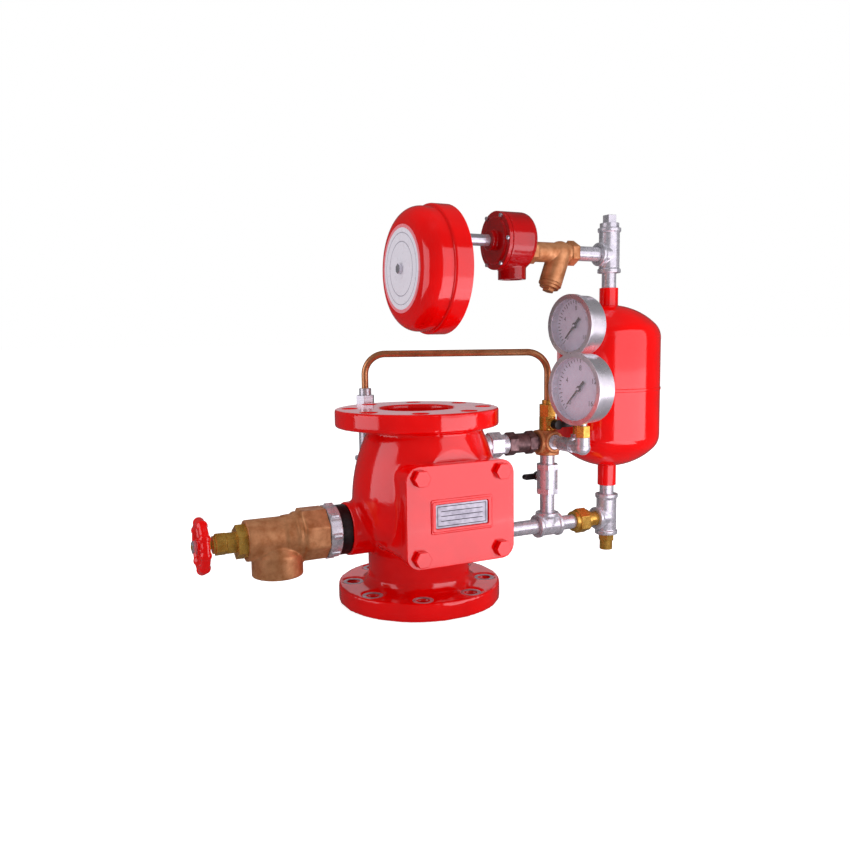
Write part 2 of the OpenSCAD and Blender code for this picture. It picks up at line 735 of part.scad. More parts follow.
module striker() {
  x0 = plate_x - 26;
  color(brass) difference() {
    union() {
      rod_x(shaft_r + 3, x0, x0 + 10, 0, shaft_z);
      translate([x0 + 2, -3, shaft_z]) cube([6, 6, striker_reach - 5]);
      rod_x(5, x0, x0 + 10, 0, shaft_z + striker_reach - 5);
    }
    rod_x(shaft_r + run, x0 - cut, x0 + 11, 0, shaft_z);
  }
}
module shaft_sleeve() {
  color(steel) difference() {
    union() {
      rod_x(sleeve_r, plate_x - 5, boss_x, 0, shaft_z);
      rod_x(sleeve_r + 4, plate_x - 5, plate_x, 0, shaft_z);
    }
    rod_x(shaft_r + run, plate_x - 6, boss_x + cut, 0, shaft_z);
  }
}
module gong_back_plate() {
  color(dark_red) difference() {
    union() {
      rod_x(gong_r - 22, plate_x, plate_x + plate_t, 0, gong_z);
      rod_x(post_r, gong_x + gong_t, plate_x, 0, gong_z);
    }
    rod_x(sleeve_r + fit, plate_x - cut, plate_x + plate_t + cut, 0, shaft_z);
    rod_x(gong_bolt_r + fit, gong_x, gong_x + 30, 0, gong_z);
  }
}
// Half outline of the bell: rounded shoulder, then a wider lip
module gong_profile(inset) {
  dome = gong_r - 4 - inset;
  shoulder = 24 - inset;
  lip = gong_depth - 26;
  translate([0, inset]) square([dome - shoulder, gong_depth]);
  translate([0, 24]) square([dome, gong_depth]);
  translate([dome - shoulder, 24]) circle(shoulder);
  translate([0, lip + inset]) square([gong_r - inset - 4, gong_depth]);
  translate([0, lip + 4]) square([gong_r - inset, gong_depth]);
  if (inset == 0) translate([gong_r - 4, lip + 4]) circle(4);
}
module gong() {
  color(red) translate([gong_x, 0, gong_z]) rotate([0, 90, 0]) difference() {
    rotate_extrude() intersection() {
      gong_profile(0);
      square([gong_r + cut, gong_depth]);
    }
    rotate_extrude() gong_profile(gong_t);
    translate([0, 0, -cut]) cylinder(r = gong_bolt_r + fit, h = gong_t + 2);
  }
}
module gong_label() {
  color("white") difference() {
    rod_x(gong_r - 28.5, gong_x - 0.8, gong_x, 0, gong_z);
    rod_x(gong_bolt_r + fit, gong_x - 2, gong_x + cut, 0, gong_z);
  }
}
module gong_bolt() {
  color(steel) {
    rod_x(gong_bolt_r, gong_x - 0.8, gong_x + 28, 0, gong_z);
    hex_x(7, gong_x - 5.8, gong_x - 0.8, 0, gong_z);
  }
}

// Trim between the valve and the chamber
union_a = port_x + 8;
check_x0 = port_x + 48;
check_x1 = trim_x - tee_half - 6;
cross_top = trim_z + 16;
test_z = 144;
test_half = 22;
test_engage = 10;
ball_r = 9.7;
cock_z = cross_top + 10;
cock_top = cross_top + 20;
tube_r = tube_d / 2;
tube_bore = tube_r - 1;
tube_start = cock_top + 4;
nut_z = face_to_face - 10;
riser_top = nut_z + 12;
run_len = norm([riser_x - trim_x, riser_y]);
module upper_union() {
  color(steel) difference() {
    union() {
      rod_x(fitting_r, union_a, union_a + 10, 0, trim_z);
      hex_x(collar_r + 1.5, union_a + 10, union_a + 30, 0, trim_z);
      rod_x(fitting_r - 1, union_a + 30, check_x0, 0, trim_z);
      rod_x(pipe_r, check_x0, check_x0 + engage, 0, trim_z);
    }
    rod_x(bore_in, union_a - cut, check_x0 + engage + cut, 0, trim_z);
    rod_x(socket_r, union_a - cut, union_a + engage, 0, trim_z);
  }
}
module check_valve() {
  color([0.35, 0.33, 0.32]) difference() {
    union() {
      hex_x(collar_r, check_x0, check_x0 + 14, 0, trim_z);
      rod_x(fitting_r - 1, check_x0 + 14, check_x1 - 12, 0, trim_z);
      hex_x(collar_r, check_x1 - 12, check_x1, 0, trim_z);
      rod_x(pipe_r, check_x1, trim_x - tee_half + tee_engage, 0, trim_z);
    }
    rod_x(bore_in - 2, check_x0, trim_x, 0, trim_z);
    rod_x(socket_r, check_x0 - cut, check_x0 + engage, 0, trim_z);
  }
}
module trim_cross() {
  color(copper) difference() {
    union() {
      rod_x(fitting_r, trim_x - tee_half, trim_x, 0, trim_z);
      rod_x(collar_r, trim_x - tee_half, trim_x - tee_half + 5, 0, trim_z);
      rod_y(fitting_r, -tee_half, 0, trim_x, trim_z);
      rod_z(fitting_r, trim_z - tee_half, cross_top, trim_x);
      rod_z(collar_r, trim_z - tee_half, trim_z - tee_half + 5, trim_x);
      translate([trim_x, 0, trim_z]) sphere(fitting_r + 1);
    }
    rod_x(bore_in, trim_x - tee_half - cut, trim_x, 0, trim_z);
    rod_x(socket_r, trim_x - tee_half - cut, trim_x - tee_half + tee_engage, 0, trim_z);
    rod_y(bore_in, -tee_half - cut, 0, trim_x, trim_z);
    rod_y(socket_r, -tee_half - cut, -tee_half + tee_engage, trim_x, trim_z);
    rod_z(bore_in, trim_z - tee_half - cut, cross_top + cut, trim_x);
    rod_z(socket_r, trim_z - tee_half - cut, trim_z - tee_half + tee_engage, trim_x);
    rod_z(socket_r, cross_top - tee_engage, cross_top + cut, trim_x);
  }
}
module test_valve_body() {
  color(steel) difference() {
    union() {
      rod_z(fitting_r, test_z - test_half, test_z + test_half, trim_x);
      hex_z(collar_r, test_z - test_half, test_z - test_half + 8, trim_x);
      hex_z(collar_r, test_z + test_half - 8, test_z + test_half, trim_x);
      rod_y(7.5, 8, 20, trim_x, test_z);
    }
    translate([trim_x, 0, test_z]) sphere(ball_r + 0.3);
    rod_z(6, test_z - test_half - cut, test_z + test_half + cut, trim_x);
    rod_z(socket_r, test_z - test_half - cut, test_z - test_half + test_engage, trim_x);
    rod_z(socket_r, test_z + test_half - test_engage, test_z + test_half + cut, trim_x);
    rod_y(4 + run, 0, 21, trim_x, test_z);
  }
}
// Butterfly handle across Y: hub with two rounded wings along X
module butterfly(len, y0, y1, x, z) {
  translate([x, y1, z]) rotate([90, 0, 0]) linear_extrude(y1 - y0) {
    circle(7);
    square([len - 8, 8], center = true);
    for (s = [-1, 1]) translate([s * (len / 2 - 4), 0]) circle(4);
  }
}
// One-sided lever that points along +X when it is at rest
module lever(len, y0, y1, x, z) {
  translate([x, y1, z]) rotate([90, 0, 0]) linear_extrude(y1 - y0) {
    circle(7);
    translate([0, -4]) square([len - 4, 8]);
    translate([len - 4, 0]) circle(4);
  }
}
module test_valve_handle() {
  color(black) difference() {
    union() {
      translate([trim_x, 0, test_z]) sphere(ball_r);
      rod_y(4, 0, 21, trim_x, test_z);
      butterfly(52, 20.4, 28, trim_x, test_z);
    }
    rod_z(6, test_z - ball_r - cut, test_z + ball_r + cut, trim_x);
  }
}
module bypass_cock() {
  color(brass) difference() {
    union() {
      rod_z(pipe_r, cross_top - tee_engage, cross_top, trim_x);
      rod_z(12, cross_top, cock_top, trim_x);
      rod_z(9, cock_top, cock_top + 12, trim_x);
      rod_y(8, -18, 0, trim_x, cock_z);
    }
    rod_z(3, cross_top - tee_engage - cut, cock_top + 13, trim_x);
    rod_z(tube_r + fit, tube_start, cock_top + 13, trim_x);
    rod_y(5 + run, -19, 8, trim_x, cock_z);
  }
}
module bypass_handle() {
  color(black) difference() {
    union() {
      rod_y(5, -22, 7.9, trim_x, cock_z);
      lever(28, -29, -18.4, trim_x, cock_z);
    }
    rod_z(3, cock_z - 6, cock_z + 6, trim_x);
  }
}
module tube_nuts() {
  color(brass) {
    difference() {
      union() {
        hex_z(13, cock_top, cock_top + 18, trim_x);
        rod_z(8, cock_top + 18, cock_top + 24, trim_x);
      }
      rod_z(9 + fit, cock_top - cut, cock_top + 12, trim_x);
      rod_z(tube_r + fit, cock_top, cock_top + 25, trim_x);
    }
    difference() {
      union() {
        hex_z(14, nut_z, nut_z + 20, riser_x, riser_y);
        rod_z(9, nut_z + 20, nut_z + 30, riser_x, riser_y);
      }
      rod_z(socket_r, nut_z - cut, riser_top, riser_x, riser_y);
      rod_z(tube_r + fit, nut_z, nut_z + 31, riser_x, riser_y);
    }
  }
}
module tube_section() {
  difference() {
    circle(tube_r);
    circle(tube_bore);
  }
}
module tube_corner() {
  rotate([90, 0, 0]) rotate_extrude(angle = 90) translate([tube_bend, 0]) tube_section();
}
module copper_tube() {
  bend_z = tube_top - tube_bend;
  color(copper) translate([trim_x, 0, 0]) rotate(atan2(riser_y, riser_x - trim_x)) {
    translate([0, 0, tube_start]) linear_extrude(bend_z - tube_start) tube_section();
    translate([tube_bend, 0, bend_z]) rotate([0, -90, 0]) tube_corner();
    translate([tube_bend, 0, tube_top]) rotate([0, 90, 0])
      linear_extrude(run_len - 2 * tube_bend) tube_section();
    translate([run_len - tube_bend, 0, bend_z]) tube_corner();
    translate([run_len, 0, riser_top]) linear_extrude(bend_z - riser_top) tube_section();
  }
}
module bypass_elbow() {
  color(steel) difference() {
    union() {
      rod_y(fitting_r, riser_y - tee_half, riser_y, riser_x, riser_z);
      rod_y(collar_r, riser_y - tee_half, riser_y - tee_half + 6, riser_x, riser_z);
      rod_z(fitting_r, riser_z, riser_z + tee_half, riser_x, riser_y);
      rod_z(collar_r, riser_z + tee_half - 6, riser_z + tee_half, riser_x, riser_y);
      translate([riser_x, riser_y, riser_z]) sphere(fitting_r + 0.8);
    }
    rod_y(bore_in, riser_y - tee_half - cut, riser_y, riser_x, riser_z);
    rod_z(bore_in, riser_z, riser_z + tee_half + cut, riser_x, riser_y);
    rod_y(socket_r, riser_y - tee_half - cut, riser_y - tee_half + tee_engage, riser_x, riser_z);
    rod_z(socket_r, riser_z + tee_half - tee_engage, riser_z + tee_half + cut, riser_x, riser_y);
  }
}
// Every straight pipe piece of the trim
module trim_nipples() {
  color(steel) {
    nipple_x(port_x - socket_depth, trim_x - tee_half + tee_engage, alarm_z);
    nipple_x(trim_x + tee_half - tee_engage, union_x0 + engage, alarm_z);
    nipple_x(port_x - socket_depth / 2, union_a + engage, trim_z);
    nipple_x(strainer_x1 - engage, branch_x + engage, motor_z);
    nipple_z(low_tee_z1 - engage, tank_z - neck_len + engage, tank_x, 0);
    nipple_z(tank_top + neck_len - 5 - engage, high_tee_z0 + engage, tank_x, 0);
    nipple_z(alarm_z + tee_half - tee_engage, test_z - test_half + test_engage, trim_x, 0);
    nipple_z(test_z + test_half - test_engage, trim_z - tee_half + tee_engage, trim_x, 0);
    nipple_z(riser_z + tee_half - tee_engage, riser_top, riser_x, riser_y);
    translate([0, rear_boss_y - 14, 0]) rotate(90)
      nipple_x(0, riser_y - tee_half + tee_engage - rear_boss_y + 14, riser_z, -riser_x);
  }
}
module nipple_x(x0, x1, z, y = 0) {
  difference() {
    rod_x(pipe_r, x0, x1, y, z);
    rod_x(bore_in, x0 - cut, x1 + cut, y, z);
  }
}
module nipple_z(z0, z1, x, y) {
  difference() {
    rod_z(pipe_r, z0, z1, x, y);
    rod_z(bore_in, z0 - cut, z1 + cut, x, y);
  }
}

// Gauges on their manifold
lower_y = -84;
upper_y = -48;
upper_x = trim_x + 19;
gauge_shift = 3;
stub_top = trim_z + 14;
lower_neck = 17.5;
dial_step = 86;
lower_dial_z = stub_top + lower_neck + lower_gauge_d / 2;
upper_dial_z = lower_dial_z + dial_step;
branch_r = 7;
joint_r = 10;
thread_r = 6;
adapter_r = 10.5;
module gauge_manifold() {
  color(steel) difference() {
    union() {
      rod_y(pipe_r, -tee_half, -tee_half + tee_engage, trim_x, trim_z);
      rod_y(branch_r, lower_y, -tee_half, trim_x, trim_z);
      rod_y(joint_r, lower_y, lower_y + 14, trim_x, trim_z);
      rod_y(joint_r, upper_y - 14, upper_y + 14, trim_x, trim_z);
      rod_x(joint_r, trim_x, upper_x, upper_y, trim_z);
      for (p = [[trim_x, lower_y], [upper_x, upper_y]]) {
        rod_z(joint_r, trim_z, stub_top, p[0], p[1]);
        translate([p[0], p[1], trim_z]) sphere(joint_r + 0.8);
      }
    }
    rod_y(4, lower_y - 2, -tee_half + tee_engage + cut, trim_x, trim_z);
    rod_x(3.8, trim_x, upper_x + 2, upper_y, trim_z);
    for (p = [[trim_x, lower_y], [upper_x, upper_y]]) {
      rod_z(3.5, trim_z - 1, stub_top + cut, p[0], p[1]);
      rod_z(branch_r + fit, stub_top - 9, stub_top + cut, p[0], p[1]);
    }
  }
}
// Adapter from the manifold up to the gauge stem
module adapter(x, y, hex_z0, hex_z1) {
  difference() {
    union() {
      rod_z(branch_r, stub_top - 9, hex_z0, x, y);
      hex_z(adapter_r, hex_z0, hex_z1, x, y);
    }
    rod_z(3, stub_top - 10, hex_z1 + cut, x, y);
    rod_z(thread_r + fit, hex_z1 - 12, hex_z1 + cut, x, y);
  }
}
lower_hex = lower_dial_z - lower_gauge_d / 2 - 1.5;
upper_hex = upper_dial_z - upper_gauge_d / 2 - 1.5;
module gauge_adapters() {
  color(brass) {
    adapter(trim_x, lower_y, stub_top, lower_hex);
    adapter(upper_x, upper_y, upper_hex - 18, upper_hex);
  }
}
// Local frame of a gauge: Z out of the dial, X up the dial
module gauge_frame(x, y, z) {
  translate([x - gauge_shift, y, z]) rotate(gauge_yaw) rotate([0, -90, 0])
    translate([0, 0, -gauge_depth / 2]) children();
}
glass_z = gauge_depth - 4;
dial_z = gauge_depth - 13;
module gauge_case(d, x, y, z, hex) {
  color([0.8, 0.8, 0.82]) union() {
    gauge_frame(x, y, z) difference() {
      union() {
        cylinder(r = d / 2 - 2, h = gauge_depth);
        translate([0, 0, gauge_depth - 8]) cylinder(r = d / 2, h = 8);
      }
      translate([0, 0, dial_z - 1]) cylinder(r = d / 2 - 5, h = glass_z + 2 - dial_z + 1);
      translate([0, 0, glass_z]) cylinder(r = d / 2 - 7, h = 5);
    }
    rod_z(thread_r, hex - 11, z - d / 2 + 4, x, y);
  }
}
module lower_gauge_case() {
  gauge_case(lower_gauge_d, trim_x, lower_y, lower_dial_z, lower_hex);
}
module upper_gauge_case() {
  gauge_case(upper_gauge_d, upper_x, upper_y, upper_dial_z, upper_hex);
}
module dial(d) {
  translate([0, 0, dial_z - 1 + run]) cylinder(r = d / 2 - 5 - fit, h = 1 - run);
  translate([0, 0, dial_z]) cylinder(r = 1.5, h = 6);
}
module gauge_dials() {
  color("white") {
    gauge_frame(trim_x, lower_y, lower_dial_z) dial(lower_gauge_d);
    gauge_frame(upper_x, upper_y, upper_dial_z) dial(upper_gauge_d);
  }
}
module gauge_glasses() {
  color([0.85, 0.9, 0.95]) {
    gauge_frame(trim_x, lower_y, lower_dial_z)
      translate([0, 0, glass_z]) cylinder(r = lower_gauge_d / 2 - 5 - fit, h = 2);
    gauge_frame(upper_x, upper_y, upper_dial_z)
      translate([0, 0, glass_z]) cylinder(r = upper_gauge_d / 2 - 5 - fit, h = 2);
  }
}
// Needle at zero, pointing down to the viewer's left
module needle(d) {
  translate([0, 0, dial_z + 2.5]) difference() {
    union() {
      cylinder(r = 4, h = 1.5);
      rotate(135) linear_extrude(1.5)
        polygon([[-14, 2], [-14, -2], [d / 2 - 18, -0.6], [d / 2 - 18, 0.6]]);
    }
    translate([0, 0, -cut]) cylinder(r = 1.5 + run, h = 4);
  }
}
module lower_needle() {
  color(black) gauge_frame(trim_x, lower_y, lower_dial_z) needle(lower_gauge_d);
}
module upper_needle() {
  color(black) gauge_frame(upper_x, upper_y, upper_dial_z) needle(upper_gauge_d);
}

valve_body();
seat_ring();
handhole_cover();
cover_gasket();
cover_bolts();
name_plate();
hinge_pin();
hinge_pin_plugs();
clapper();
clapper_seal();
clapper_nut();
drain_nipple();
drain_locknut();
drain_valve_body();
drain_bonnet();
gland_nut();
drain_stem();
drain_disc();
drain_handwheel();
handwheel_nut();
trim_nipples();
alarm_tee();
alarm_union();
chamber_tee();
drain_orifice();
retard_chamber();
top_tee();
top_plug();
strainer_body();
strainer_cap();
strainer_screen();
motor_housing();
motor_cover();
motor_cover_screws();
turbine_wheel();
drive_shaft();
striker();
shaft_sleeve();
gong_back_plate();
gong();
gong_bolt();
gong_label();
upper_union();
check_valve();
trim_cross();
test_valve_body();
test_valve_handle();
bypass_cock();
bypass_handle();
tube_nuts();
copper_tube();
bypass_elbow();
gauge_manifold();
gauge_adapters();
lower_gauge_case();
upper_gauge_case();
gauge_dials();
gauge_glasses();
lower_needle();
upper_needle();
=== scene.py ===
import bmesh
import bpy
import json
import math
from mathutils import Matrix, Vector


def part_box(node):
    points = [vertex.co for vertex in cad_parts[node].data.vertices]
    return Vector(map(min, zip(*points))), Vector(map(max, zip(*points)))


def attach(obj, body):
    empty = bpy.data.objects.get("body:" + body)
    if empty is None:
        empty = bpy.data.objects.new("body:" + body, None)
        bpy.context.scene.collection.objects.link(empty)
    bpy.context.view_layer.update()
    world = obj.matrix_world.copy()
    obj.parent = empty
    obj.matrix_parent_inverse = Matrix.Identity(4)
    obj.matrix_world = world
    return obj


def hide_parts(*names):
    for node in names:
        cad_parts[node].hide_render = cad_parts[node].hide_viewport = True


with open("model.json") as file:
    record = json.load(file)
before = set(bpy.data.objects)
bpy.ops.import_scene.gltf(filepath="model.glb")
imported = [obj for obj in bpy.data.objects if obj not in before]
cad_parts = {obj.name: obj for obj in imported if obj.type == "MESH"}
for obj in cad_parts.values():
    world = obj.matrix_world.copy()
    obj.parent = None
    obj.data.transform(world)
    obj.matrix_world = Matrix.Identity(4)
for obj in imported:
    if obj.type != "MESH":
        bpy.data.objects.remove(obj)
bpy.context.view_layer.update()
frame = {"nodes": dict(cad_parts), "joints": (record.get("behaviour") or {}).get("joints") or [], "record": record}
mm = 0.001


def linearColour(hexText):  # sRGB hex to the linear colour that the shader takes
    values = [int(hexText[i:i + 2], 16) / 255 for i in (1, 3, 5)]
    return [v / 12.92 if v <= 0.04045 else ((v + 0.055) / 1.055) ** 2.4 for v in values] + [1.0]


def addNode(tree, kind, inputs=None, **settings):  # a node with its settings, values and links
    node = tree.nodes.new(kind)
    for key, value in settings.items():
        setattr(node, key, value)
    for key, value in (inputs or {}).items():
        if isinstance(value, bpy.types.NodeSocket):
            tree.links.new(value, node.inputs[key])
        else:
            node.inputs[key].default_value = value
    return node


def startMaterial(name):  # material, its tree, its shader and millimetre coordinates
    material = bpy.data.materials.new(name)
    material.use_nodes = True
    tree = material.node_tree
    shader = tree.nodes["Principled BSDF"]
    place = addNode(tree, "ShaderNodeTexCoord").outputs["Object"]
    return material, tree, shader, place


def spots(tree, place, sizeMm, detail=2.0):  # cloudy pattern with patches of about sizeMm
    return addNode(tree, "ShaderNodeTexNoise", {"Vector": place, "Scale": 1 / (sizeMm * mm),
                                                "Detail": detail, "Roughness": 0.55}).outputs["Fac"]


def ramp(tree, value, low, high, toLow=0.0, toHigh=1.0):  # stretches low..high to toLow..toHigh
    return addNode(tree, "ShaderNodeMapRange", {"Value": value, "From Min": low, "From Max": high,
                                                "To Min": toLow, "To Max": toHigh}).outputs["Result"]


def twoColours(tree, value, hexA, hexB):
    ends = {"Factor": value, "A": linearColour(hexA), "B": linearColour(hexB)}
    return addNode(tree, "ShaderNodeMix", ends, data_type="RGBA").outputs[2]


def bumps(tree, shader, height, depthMm):
    node = addNode(tree, "ShaderNodeBump", {"Height": height, "Distance": depthMm * mm, "Strength": 1.0})
    tree.links.new(node.outputs["Normal"], shader.inputs["Normal"])


def enamel(name, hexBright, hexDeep, castMm, castDepth):
    # stoved enamel: a thick glossy film with a faint orange-peel ripple over what lies below
    material, tree, shader, place = startMaterial(name)
    film = ramp(tree, spots(tree, place, 60), 0.35, 0.65)
    tree.links.new(twoColours(tree, film, hexBright, hexDeep), shader.inputs["Base Color"])
    gloss = ramp(tree, spots(tree, place, 25, 4), 0.3, 0.7, 0.09, 0.17)
    tree.links.new(gloss, shader.inputs["Roughness"])
    shader.inputs["Coat Weight"].default_value = 0.55
    shader.inputs["Coat Roughness"].default_value = 0.05
    shader.inputs["IOR"].default_value = 1.52
    peel = spots(tree, place, 3.0, 1)       # orange peel is about 1 mm, drawn coarser to show
    skin = spots(tree, place, castMm, 3)
    both = addNode(tree, "ShaderNodeMath", {0: skin, 1: 1.0, 2: peel}, operation="MULTIPLY_ADD")
    bumps(tree, shader, both.outputs[0], castDepth)
    return material


def metal(name, hexA, hexB, patchMm, roughLow, roughHigh, grainMm, grainDepth, metallic=1.0):
    # bare metal: two tones in patches, with a roughness and a fine relief of its own
    material, tree, shader, place = startMaterial(name)
    patch = spots(tree, place, patchMm, 4)
    tree.links.new(twoColours(tree, ramp(tree, patch, 0.35, 0.65), hexA, hexB), shader.inputs["Base Color"])
    tree.links.new(ramp(tree, spots(tree, place, patchMm / 2, 3), 0.3, 0.7, roughLow, roughHigh),
                   shader.inputs["Roughness"])
    shader.inputs["Metallic"].default_value = metallic
    bumps(tree, shader, spots(tree, place, grainMm, 2), grainDepth)
    return material


def zincCoat(name):
    # hot-dip galvanised iron: frosty crystals of a few millimetres, each a little lighter or duller
    material, tree, shader, place = startMaterial(name)
    crystal = addNode(tree, "ShaderNodeTexVoronoi", {"Vector": place, "Scale": 1 / (5 * mm)})
    shade = ramp(tree, crystal.outputs["Color"], 0.0, 1.0)
    tree.links.new(twoColours(tree, shade, "#CBCAD2", "#E6E5EB"), shader.inputs["Base Color"])
    tree.links.new(ramp(tree, shade, 0.0, 1.0, 0.20, 0.34), shader.inputs["Roughness"])
    shader.inputs["Metallic"].default_value = 0.65   # the frosty zinc also scatters light
    bumps(tree, shader, spots(tree, place, 2.5, 2), 0.06)
    return material


def plainFinish(name, hexA, hexB, roughLow, roughHigh, grainMm, grainDepth):
    # moulded or pressed non-metal: close to one colour with a fine skin
    material, tree, shader, place = startMaterial(name)
    tree.links.new(twoColours(tree, ramp(tree, spots(tree, place, 8, 3), 0.35, 0.65), hexA, hexB),
                   shader.inputs["Base Color"])
    tree.links.new(ramp(tree, spots(tree, place, 5, 3), 0.3, 0.7, roughLow, roughHigh),
                   shader.inputs["Roughness"])
    bumps(tree, shader, spots(tree, place, grainMm, 1), grainDepth)
    return material


def windowGlass(name):  # clear float glass: mostly see-through, with a sharp reflection
    material, tree, shader, place = startMaterial(name)
    smear = ramp(tree, spots(tree, place, 20, 3), 0.4, 0.7, 0.02, 0.07)
    tree.links.new(smear, shader.inputs["Roughness"])
    shader.inputs["Base Color"].default_value = linearColour("#F4F6FA")
    shader.inputs["Alpha"].default_value = 0.10
    return material


finish = {
    # bright even red with sharp reflections of the soft boxes
    "red_paint": enamel("stoved red enamel", "#EA0101", "#DC0101", 14, 0.06),
    # deeper red over a rougher casting, so its reflections break up
    "dark_red_paint": enamel("dark red casting enamel", "#B80408", "#940306", 6, 0.14),
    # sandy warm brown with soft, patchy shine
    "cast_bronze": metal("sand-cast bronze", "#E4A472", "#BE7A4A", 14, 0.34, 0.50, 1.6, 0.22, 0.6),
    # yellow, smoother than the castings and with clear highlights
    "bright_brass": metal("turned brass", "#EABA58", "#CE963C", 9, 0.2, 0.32, 1.5, 0.04, 0.72),
    # pale grey with a frosty sparkle
    "galvanised": zincCoat("galvanised iron"),
    # near-white mirror, blurred only a little
    "bright_steel": metal("polished stainless steel", "#E2E0E8", "#CFCDD6", 12, 0.14, 0.24, 2, 0.02, 0.8),
    # almost black scale with a dull shine
    "black_iron": metal("black malleable iron", "#2A2526", "#141112", 7, 0.32, 0.5, 1.8, 0.2, 0.35),
    # deep black with a moulded half-gloss
    "black_plastic": plainFinish("black nylon", "#141414", "#0B0B0B", 0.30, 0.42, 1.2, 0.04),
    # flat black without shine
    "rubber": plainFinish("sheet rubber", "#1C1C1C", "#131313", 0.6, 0.75, 1.0, 0.05),
    # warm pinkish brown, drawn smooth and slightly dulled by air
    "copper": metal("drawn copper", "#DE9C6C", "#BC764C", 18, 0.24, 0.38, 2, 0.03, 0.7),
    # mid grey with a satin rolled shine
    "plate_metal": metal("rolled aluminium sheet", "#B4B2BA", "#9C9AA3", 10, 0.38, 0.5, 1.5, 0.03),
    # lilac white with a printed half-gloss
    "dial_white": plainFinish("white printed dial", "#DAD3E6", "#D0C8DE", 0.35, 0.45, 2, 0.01),
    # nearly invisible, apart from its reflections
    "gauge_glass": windowGlass("float glass"),
}
print("materials:", len(finish))

slotOf = {part["node"]: part["material_slot"] for part in frame["record"]["subparts"]}
bodyOf = {node: body for body, nodes in frame["record"]["behaviour"]["bodies"].items() for node in nodes}


def newPiece(name, mesh, body, slot, material=None):  # a finished piece on its body
    piece = bpy.data.objects.new(name, mesh)
    bpy.context.scene.collection.objects.link(piece)
    mesh.materials.clear()
    mesh.materials.append(material or finish[slot])
    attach(piece, body)
    return piece


mergeLook = {"gap": 0.002, "flat": 0.6}  # mm between joined corners, degrees between faces of one plane


def mergedCopy(node):  # the node's triangles, joined up
    shape = bmesh.new()
    shape.from_mesh(frame["nodes"][node].data)
    bmesh.ops.remove_doubles(shape, verts=shape.verts, dist=mergeLook["gap"] * mm)
    return shape


def plainMesh(holder):  # what the object shows with its modifiers, as a mesh; the object is removed
    made = bpy.data.meshes.new_from_object(holder.evaluated_get(bpy.context.evaluated_depsgraph_get()))
    bpy.data.objects.remove(holder)
    return made


def toMesh(shape, name, smoothAngle=32):  # smooth-shaded mesh with its sharp edges kept
    mesh = bpy.data.meshes.new(name)
    shape.to_mesh(mesh)
    shape.free()
    mesh.polygons.foreach_set("use_smooth", [True] * len(mesh.polygons))
    mesh.set_sharp_from_angle(angle=math.radians(smoothAngle))
    return mesh


def softEdges(shape, widthMm, segments=2, sharpAngle=25):  # rounds every sharp edge
    sharp = [e for e in shape.edges if e.is_manifold and e.calc_face_angle(0) > math.radians(sharpAngle)]
    bmesh.ops.bevel(shape, geom=sharp, offset=widthMm * mm, offset_type="OFFSET", segments=segments,
                    profile=0.5, affect="EDGES", clamp_overlap=False)


edgeRound = {  # rounding of each piece's edges, in mm
    "plain": 0.5, "handhole_cover": 1.2, "cover_bolts": 0.8, "gong": 0.8, "strainer_cap": 1.0,
    "drain_bonnet": 0.6, "gland_nut": 0.6, "motor_cover_screws": 0.3, "lower_needle": 0.15,
    "upper_needle": 0.15, "gong_label": 0.15, "name_plate": 0.15, "gauge_dials": 0.1,
    "gauge_glasses": 0.2, "strainer_screen": 0.1,
}


def evenShading(mesh):  # lets the large flat faces set the normals beside their rounded edges
    holder = bpy.data.objects.new("holder", mesh)
    bpy.context.scene.collection.objects.link(holder)
    weigh = holder.modifiers.new("weigh", "WEIGHTED_NORMAL")
    weigh.keep_sharp = True
    return plainMesh(holder)


def softNode(node):  # rounded copy that stands for the node
    shape = mergedCopy(node)
    bmesh.ops.dissolve_limit(shape, angle_limit=math.radians(mergeLook["flat"]),
                             verts=shape.verts, edges=shape.edges)
    softEdges(shape, edgeRound.get(node, edgeRound["plain"]))
    piece = newPiece(node + "_look", evenShading(toMesh(shape, node)), bodyOf[node], slotOf[node])
    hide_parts(node)
    return piece


castings = {  # grid in mm and smoothing passes that round the corners of each sand casting
    "valve_body": (2.4, 7), "drain_valve_body": (1.2, 5), "strainer_body": (1.0, 4),
    "motor_housing": (1.1, 4), "motor_cover": (0.8, 2), "drain_handwheel": (0.9, 4),
    "trim_cross": (0.9, 3), "alarm_tee": (0.9, 3), "chamber_tee": (0.9, 3), "top_tee": (0.9, 3),
    "bypass_elbow": (0.9, 3),
}


def castNode(node):  # copy with the blended corners of a casting, standing for the node
    holder = bpy.data.objects.new(node, toMesh(mergedCopy(node), node))
    bpy.context.scene.collection.objects.link(holder)
    grid, passes = castings[node]
    remade = holder.modifiers.new("grid", "REMESH")
    remade.mode, remade.voxel_size, remade.use_smooth_shade = "VOXEL", grid * mm, True
    blend = holder.modifiers.new("blend", "SMOOTH")
    blend.factor, blend.iterations = 0.5, passes
    mesh = plainMesh(holder)
    piece = newPiece(node + "_look", mesh, bodyOf[node], slotOf[node])
    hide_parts(node)
    print("casting", node, len(mesh.polygons))
    return piece


softened = {}
for node in sorted(slotOf):
    softened[node] = castNode(node) if node in castings else softNode(node)
print("rounded pieces:", len(softened))


